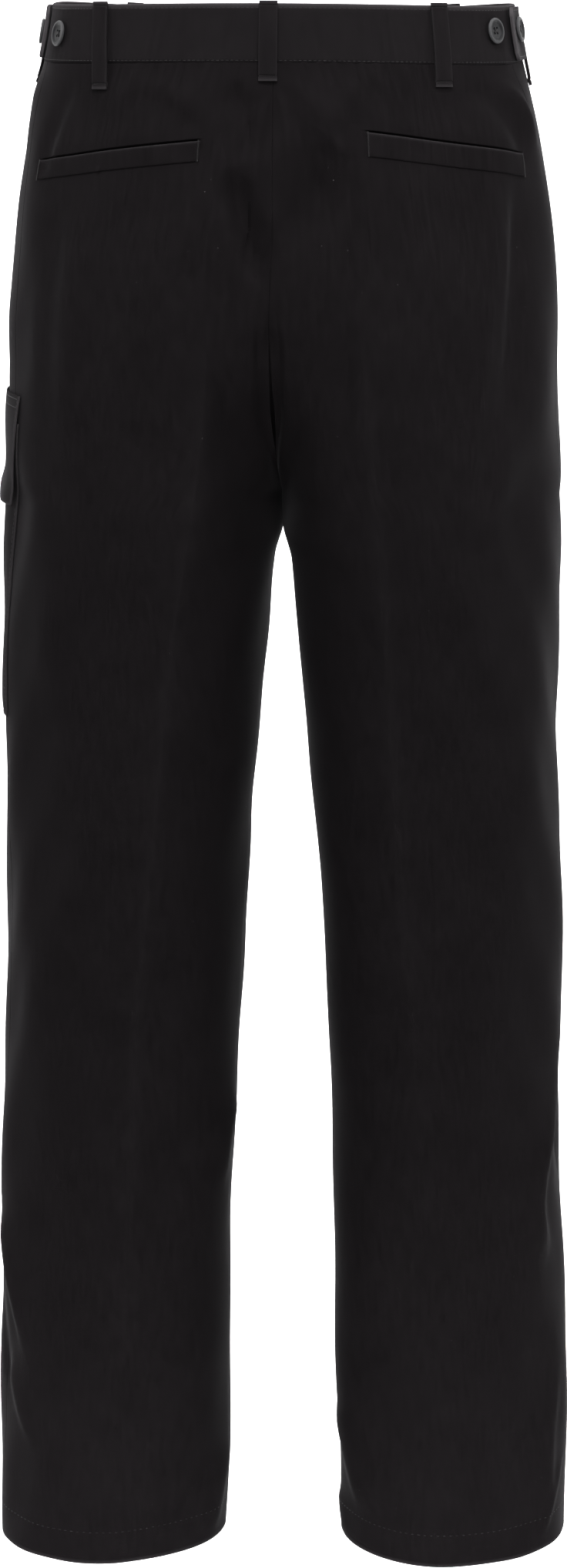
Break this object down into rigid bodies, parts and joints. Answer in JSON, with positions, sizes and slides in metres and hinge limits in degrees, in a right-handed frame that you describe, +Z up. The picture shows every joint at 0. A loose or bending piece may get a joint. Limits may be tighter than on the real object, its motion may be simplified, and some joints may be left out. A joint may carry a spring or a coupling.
{
  "type": "chino trousers",
  "caption": "Black chino trousers filled out as worn, with welt hip pockets, side adjusters and a flapped cargo pocket; the waist and both legs are open.",
  "frame": {"origin": "middle of the waist, level with the waistband, where the wearer holds the trousers up", "axes": "+X towards the wearer's right, +Y towards the wearer's front, +Z up; the picture shows the back, seen along +Y"},
  "size_m": [0.4075, 0.244, 1.095],
  "materials": {
    "twill": "matt off-black cotton twill with a faint sheen",
    "button": "satin dark grey resin",
    "zip_tape": "woven zip tape"
  },
  "bodies": {
    "root": {"back_left": "twill", "back_right": "twill", "front_left": "twill", "front_right": "twill", "waistband_left": "twill", "waistband_right": "twill", "loop_back_centre": "twill", "loop_back_left": "twill", "loop_back_right": "twill", "loop_side_left": "twill", "loop_side_right": "twill", "loop_front_left": "twill", "loop_front_right": "twill", "welt_left": "twill", "welt_right": "twill", "cargo_pocket": "twill", "cargo_flap": "twill", "adjuster_tab_left": "twill", "adjuster_tab_right": "twill", "button_left_outer": "button", "button_left_inner": "button", "button_right_outer": "button", "button_right_inner": "button", "fly_guard": "twill", "fly_zip": "zip_tape", "waist_button": "button"}
  },
  "joints": []
}
